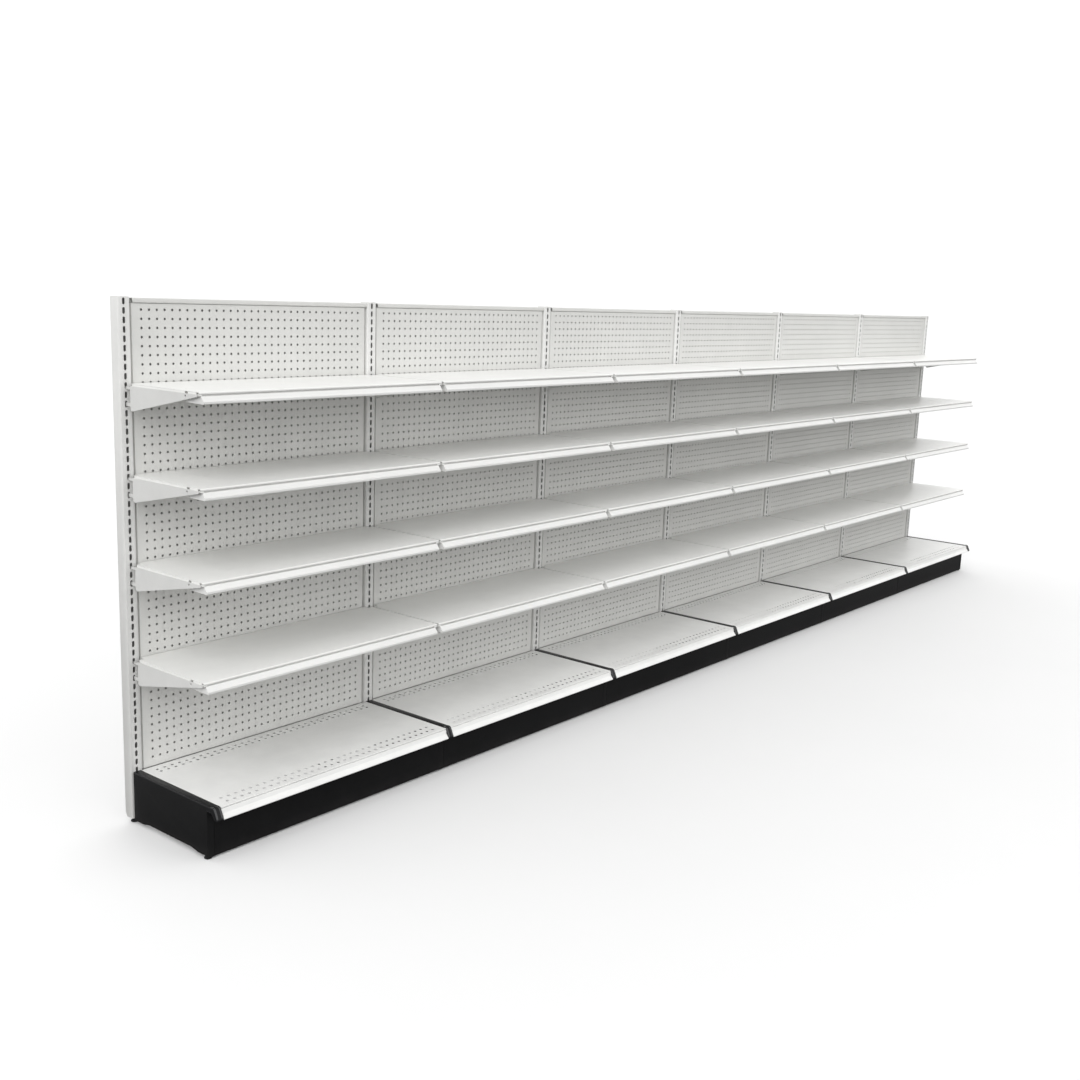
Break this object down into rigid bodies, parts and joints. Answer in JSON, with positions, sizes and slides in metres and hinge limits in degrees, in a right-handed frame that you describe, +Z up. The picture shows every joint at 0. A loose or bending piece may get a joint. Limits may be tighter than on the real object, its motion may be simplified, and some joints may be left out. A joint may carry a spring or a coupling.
{
  "type": "gondola shelving unit",
  "caption": "Long single-sided wall gondola with slotted uprights, perforated steel backs, hook-on shelves with price channels, and a base deck over black kickplates.",
  "frame": {"origin": "centre of the footprint, on the floor", "axes": "+X along the run, to the right for a shopper facing it; +Y towards the wall; +Z up"},
  "size_m": [5.5244, 0.435, 1.524],
  "materials": {
    "white_powder_coat": "off-white satin powder coat on the uprights",
    "panel_powder_coat": "off-white satin powder coat on perforated sheet",
    "shelf_powder_coat": "off-white satin powder coat, fine orange peel",
    "deck_powder_coat": "off-white satin powder coat, lightly scuffed",
    "black_powder_coat": "black satin powder coat",
    "kickplate_black": "black satin powder coat, dusty near the floor",
    "foot_nylon": "black moulded nylon"
  },
  "bodies": {
    "frame": {"upright_1": "white_powder_coat", "upright_2": "white_powder_coat", "upright_3": "white_powder_coat", "upright_4": "white_powder_coat", "upright_5": "white_powder_coat", "upright_6": "white_powder_coat", "upright_7": "white_powder_coat", "base_bracket_1": "black_powder_coat", "base_bracket_2": "black_powder_coat", "base_bracket_3": "black_powder_coat", "base_bracket_4": "black_powder_coat", "base_bracket_5": "black_powder_coat", "base_bracket_6": "black_powder_coat", "base_bracket_7": "black_powder_coat", "back_panel_1": "panel_powder_coat", "back_panel_2": "panel_powder_coat", "back_panel_3": "panel_powder_coat", "back_panel_4": "panel_powder_coat", "back_panel_5": "panel_powder_coat", "back_panel_6": "panel_powder_coat"},
    "shelf_1_1": {"shelf_1_1": "shelf_powder_coat"},
    "shelf_1_2": {"shelf_1_2": "shelf_powder_coat"},
    "shelf_1_3": {"shelf_1_3": "shelf_powder_coat"},
    "shelf_1_4": {"shelf_1_4": "shelf_powder_coat"},
    "shelf_2_1": {"shelf_2_1": "shelf_powder_coat"},
    "shelf_2_2": {"shelf_2_2": "shelf_powder_coat"},
    "shelf_2_3": {"shelf_2_3": "shelf_powder_coat"},
    "shelf_2_4": {"shelf_2_4": "shelf_powder_coat"},
    "shelf_3_1": {"shelf_3_1": "shelf_powder_coat"},
    "shelf_3_2": {"shelf_3_2": "shelf_powder_coat"},
    "shelf_3_3": {"shelf_3_3": "shelf_powder_coat"},
    "shelf_3_4": {"shelf_3_4": "shelf_powder_coat"},
    "shelf_4_1": {"shelf_4_1": "shelf_powder_coat"},
    "shelf_4_2": {"shelf_4_2": "shelf_powder_coat"},
    "shelf_4_3": {"shelf_4_3": "shelf_powder_coat"},
    "shelf_4_4": {"shelf_4_4": "shelf_powder_coat"},
    "shelf_5_1": {"shelf_5_1": "shelf_powder_coat"},
    "shelf_5_2": {"shelf_5_2": "shelf_powder_coat"},
    "shelf_5_3": {"shelf_5_3": "shelf_powder_coat"},
    "shelf_5_4": {"shelf_5_4": "shelf_powder_coat"},
    "shelf_6_1": {"shelf_6_1": "shelf_powder_coat"},
    "shelf_6_2": {"shelf_6_2": "shelf_powder_coat"},
    "shelf_6_3": {"shelf_6_3": "shelf_powder_coat"},
    "shelf_6_4": {"shelf_6_4": "shelf_powder_coat"},
    "base_deck_1": {"base_deck_1": "deck_powder_coat"},
    "base_deck_2": {"base_deck_2": "deck_powder_coat"},
    "base_deck_3": {"base_deck_3": "deck_powder_coat"},
    "base_deck_4": {"base_deck_4": "deck_powder_coat"},
    "base_deck_5": {"base_deck_5": "deck_powder_coat"},
    "base_deck_6": {"base_deck_6": "deck_powder_coat"},
    "kickplate_1": {"kickplate_1": "kickplate_black"},
    "kickplate_2": {"kickplate_2": "kickplate_black"},
    "kickplate_3": {"kickplate_3": "kickplate_black"},
    "kickplate_4": {"kickplate_4": "kickplate_black"},
    "kickplate_5": {"kickplate_5": "kickplate_black"},
    "kickplate_6": {"kickplate_6": "kickplate_black"},
    "leveller_front_left": {"leveller_front_left": "foot_nylon"},
    "leveller_rear_left": {"leveller_rear_left": "foot_nylon"},
    "leveller_front_right": {"leveller_front_right": "foot_nylon"},
    "leveller_rear_right": {"leveller_rear_right": "foot_nylon"}
  },
  "joints": [
    {"name": "shelf_1_1_tilt", "type": "hinge", "parent": "frame", "child": "shelf_1_1", "pos_m": [-2.286, 0.1804, 1.28105], "axis": [-1, 0, 0], "range_deg": [0, 9]},
    {"name": "shelf_1_2_tilt", "type": "hinge", "parent": "frame", "child": "shelf_1_2", "pos_m": [-2.286, 0.1804, 1.02705], "axis": [-1, 0, 0], "range_deg": [0, 9]},
    {"name": "shelf_1_3_tilt", "type": "hinge", "parent": "frame", "child": "shelf_1_3", "pos_m": [-2.286, 0.1804, 0.77305], "axis": [-1, 0, 0], "range_deg": [0, 9]},
    {"name": "shelf_1_4_tilt", "type": "hinge", "parent": "frame", "child": "shelf_1_4", "pos_m": [-2.286, 0.1804, 0.49365], "axis": [-1, 0, 0], "range_deg": [0, 9]},
    {"name": "shelf_2_1_tilt", "type": "hinge", "parent": "frame", "child": "shelf_2_1", "pos_m": [-1.3716, 0.1804, 1.28105], "axis": [-1, 0, 0], "range_deg": [0, 9]},
    {"name": "shelf_2_2_tilt", "type": "hinge", "parent": "frame", "child": "shelf_2_2", "pos_m": [-1.3716, 0.1804, 1.02705], "axis": [-1, 0, 0], "range_deg": [0, 9]},
    {"name": "shelf_2_3_tilt", "type": "hinge", "parent": "frame", "child": "shelf_2_3", "pos_m": [-1.3716, 0.1804, 0.77305], "axis": [-1, 0, 0], "range_deg": [0, 9]},
    {"name": "shelf_2_4_tilt", "type": "hinge", "parent": "frame", "child": "shelf_2_4", "pos_m": [-1.3716, 0.1804, 0.49365], "axis": [-1, 0, 0], "range_deg": [0, 9]},
    {"name": "shelf_3_1_tilt", "type": "hinge", "parent": "frame", "child": "shelf_3_1", "pos_m": [-0.4572, 0.1804, 1.28105], "axis": [-1, 0, 0], "range_deg": [0, 9]},
    {"name": "shelf_3_2_tilt", "type": "hinge", "parent": "frame", "child": "shelf_3_2", "pos_m": [-0.4572, 0.1804, 1.02705], "axis": [-1, 0, 0], "range_deg": [0, 9]},
    {"name": "shelf_3_3_tilt", "type": "hinge", "parent": "frame", "child": "shelf_3_3", "pos_m": [-0.4572, 0.1804, 0.77305], "axis": [-1, 0, 0], "range_deg": [0, 9]},
    {"name": "shelf_3_4_tilt", "type": "hinge", "parent": "frame", "child": "shelf_3_4", "pos_m": [-0.4572, 0.1804, 0.49365], "axis": [-1, 0, 0], "range_deg": [0, 9]},
    {"name": "shelf_4_1_tilt", "type": "hinge", "parent": "frame", "child": "shelf_4_1", "pos_m": [0.4572, 0.1804, 1.28105], "axis": [-1, 0, 0], "range_deg": [0, 9]},
    {"name": "shelf_4_2_tilt", "type": "hinge", "parent": "frame", "child": "shelf_4_2", "pos_m": [0.4572, 0.1804, 1.02705], "axis": [-1, 0, 0], "range_deg": [0, 9]},
    {"name": "shelf_4_3_tilt", "type": "hinge", "parent": "frame", "child": "shelf_4_3", "pos_m": [0.4572, 0.1804, 0.77305], "axis": [-1, 0, 0], "range_deg": [0, 9]},
    {"name": "shelf_4_4_tilt", "type": "hinge", "parent": "frame", "child": "shelf_4_4", "pos_m": [0.4572, 0.1804, 0.49365], "axis": [-1, 0, 0], "range_deg": [0, 9]},
    {"name": "shelf_5_1_tilt", "type": "hinge", "parent": "frame", "child": "shelf_5_1", "pos_m": [1.3716, 0.1804, 1.28105], "axis": [-1, 0, 0], "range_deg": [0, 9]},
    {"name": "shelf_5_2_tilt", "type": "hinge", "parent": "frame", "child": "shelf_5_2", "pos_m": [1.3716, 0.1804, 1.02705], "axis": [-1, 0, 0], "range_deg": [0, 9]},
    {"name": "shelf_5_3_tilt", "type": "hinge", "parent": "frame", "child": "shelf_5_3", "pos_m": [1.3716, 0.1804, 0.77305], "axis": [-1, 0, 0], "range_deg": [0, 9]},
    {"name": "shelf_5_4_tilt", "type": "hinge", "parent": "frame", "child": "shelf_5_4", "pos_m": [1.3716, 0.1804, 0.49365], "axis": [-1, 0, 0], "range_deg": [0, 9]},
    {"name": "shelf_6_1_tilt", "type": "hinge", "parent": "frame", "child": "shelf_6_1", "pos_m": [2.286, 0.1804, 1.28105], "axis": [-1, 0, 0], "range_deg": [0, 9]},
    {"name": "shelf_6_2_tilt", "type": "hinge", "parent": "frame", "child": "shelf_6_2", "pos_m": [2.286, 0.1804, 1.02705], "axis": [-1, 0, 0], "range_deg": [0, 9]},
    {"name": "shelf_6_3_tilt", "type": "hinge", "parent": "frame", "child": "shelf_6_3", "pos_m": [2.286, 0.1804, 0.77305], "axis": [-1, 0, 0], "range_deg": [0, 9]},
    {"name": "shelf_6_4_tilt", "type": "hinge", "parent": "frame", "child": "shelf_6_4", "pos_m": [2.286, 0.1804, 0.49365], "axis": [-1, 0, 0], "range_deg": [0, 9]},
    {"name": "base_deck_1_lift", "type": "hinge", "parent": "frame", "child": "base_deck_1", "pos_m": [-2.286, 0.1805, 0.16], "axis": [-1, 0, 0], "range_deg": [0, 20]},
    {"name": "base_deck_2_lift", "type": "hinge", "parent": "frame", "child": "base_deck_2", "pos_m": [-1.3716, 0.1805, 0.16], "axis": [-1, 0, 0], "range_deg": [0, 20]},
    {"name": "base_deck_3_lift", "type": "hinge", "parent": "frame", "child": "base_deck_3", "pos_m": [-0.4572, 0.1805, 0.16], "axis": [-1, 0, 0], "range_deg": [0, 20]},
    {"name": "base_deck_4_lift", "type": "hinge", "parent": "frame", "child": "base_deck_4", "pos_m": [0.4572, 0.1805, 0.16], "axis": [-1, 0, 0], "range_deg": [0, 20]},
    {"name": "base_deck_5_lift", "type": "hinge", "parent": "frame", "child": "base_deck_5", "pos_m": [1.3716, 0.1805, 0.16], "axis": [-1, 0, 0], "range_deg": [0, 20]},
    {"name": "base_deck_6_lift", "type": "hinge", "parent": "frame", "child": "base_deck_6", "pos_m": [2.286, 0.1805, 0.16], "axis": [-1, 0, 0], "range_deg": [0, 20]},
    {"name": "kickplate_1_pull", "type": "slide", "parent": "frame", "child": "kickplate_1", "axis": [0, -1, 0], "range_m": [0, 0.05]},
    {"name": "kickplate_2_pull", "type": "slide", "parent": "frame", "child": "kickplate_2", "axis": [0, -1, 0], "range_m": [0, 0.05]},
    {"name": "kickplate_3_pull", "type": "slide", "parent": "frame", "child": "kickplate_3", "axis": [0, -1, 0], "range_m": [0, 0.05]},
    {"name": "kickplate_4_pull", "type": "slide", "parent": "frame", "child": "kickplate_4", "axis": [0, -1, 0], "range_m": [0, 0.05]},
    {"name": "kickplate_5_pull", "type": "slide", "parent": "frame", "child": "kickplate_5", "axis": [0, -1, 0], "range_m": [0, 0.05]},
    {"name": "kickplate_6_pull", "type": "slide", "parent": "frame", "child": "kickplate_6", "axis": [0, -1, 0], "range_m": [0, 0.05]},
    {"name": "leveller_front_left_turn", "type": "hinge", "parent": "frame", "child": "leveller_front_left", "pos_m": [-2.7432, -0.1585, 0], "axis": [0, 0, 1], "continuous": true},
    {"name": "leveller_rear_left_turn", "type": "hinge", "parent": "frame", "child": "leveller_rear_left", "pos_m": [-2.7432, 0.1985, 0], "axis": [0, 0, 1], "continuous": true},
    {"name": "leveller_front_right_turn", "type": "hinge", "parent": "frame", "child": "leveller_front_right", "pos_m": [2.7432, -0.1585, 0], "axis": [0, 0, 1], "continuous": true},
    {"name": "leveller_rear_right_turn", "type": "hinge", "parent": "frame", "child": "leveller_rear_right", "pos_m": [2.7432, 0.1985, 0], "axis": [0, 0, 1], "continuous": true}
  ]
}
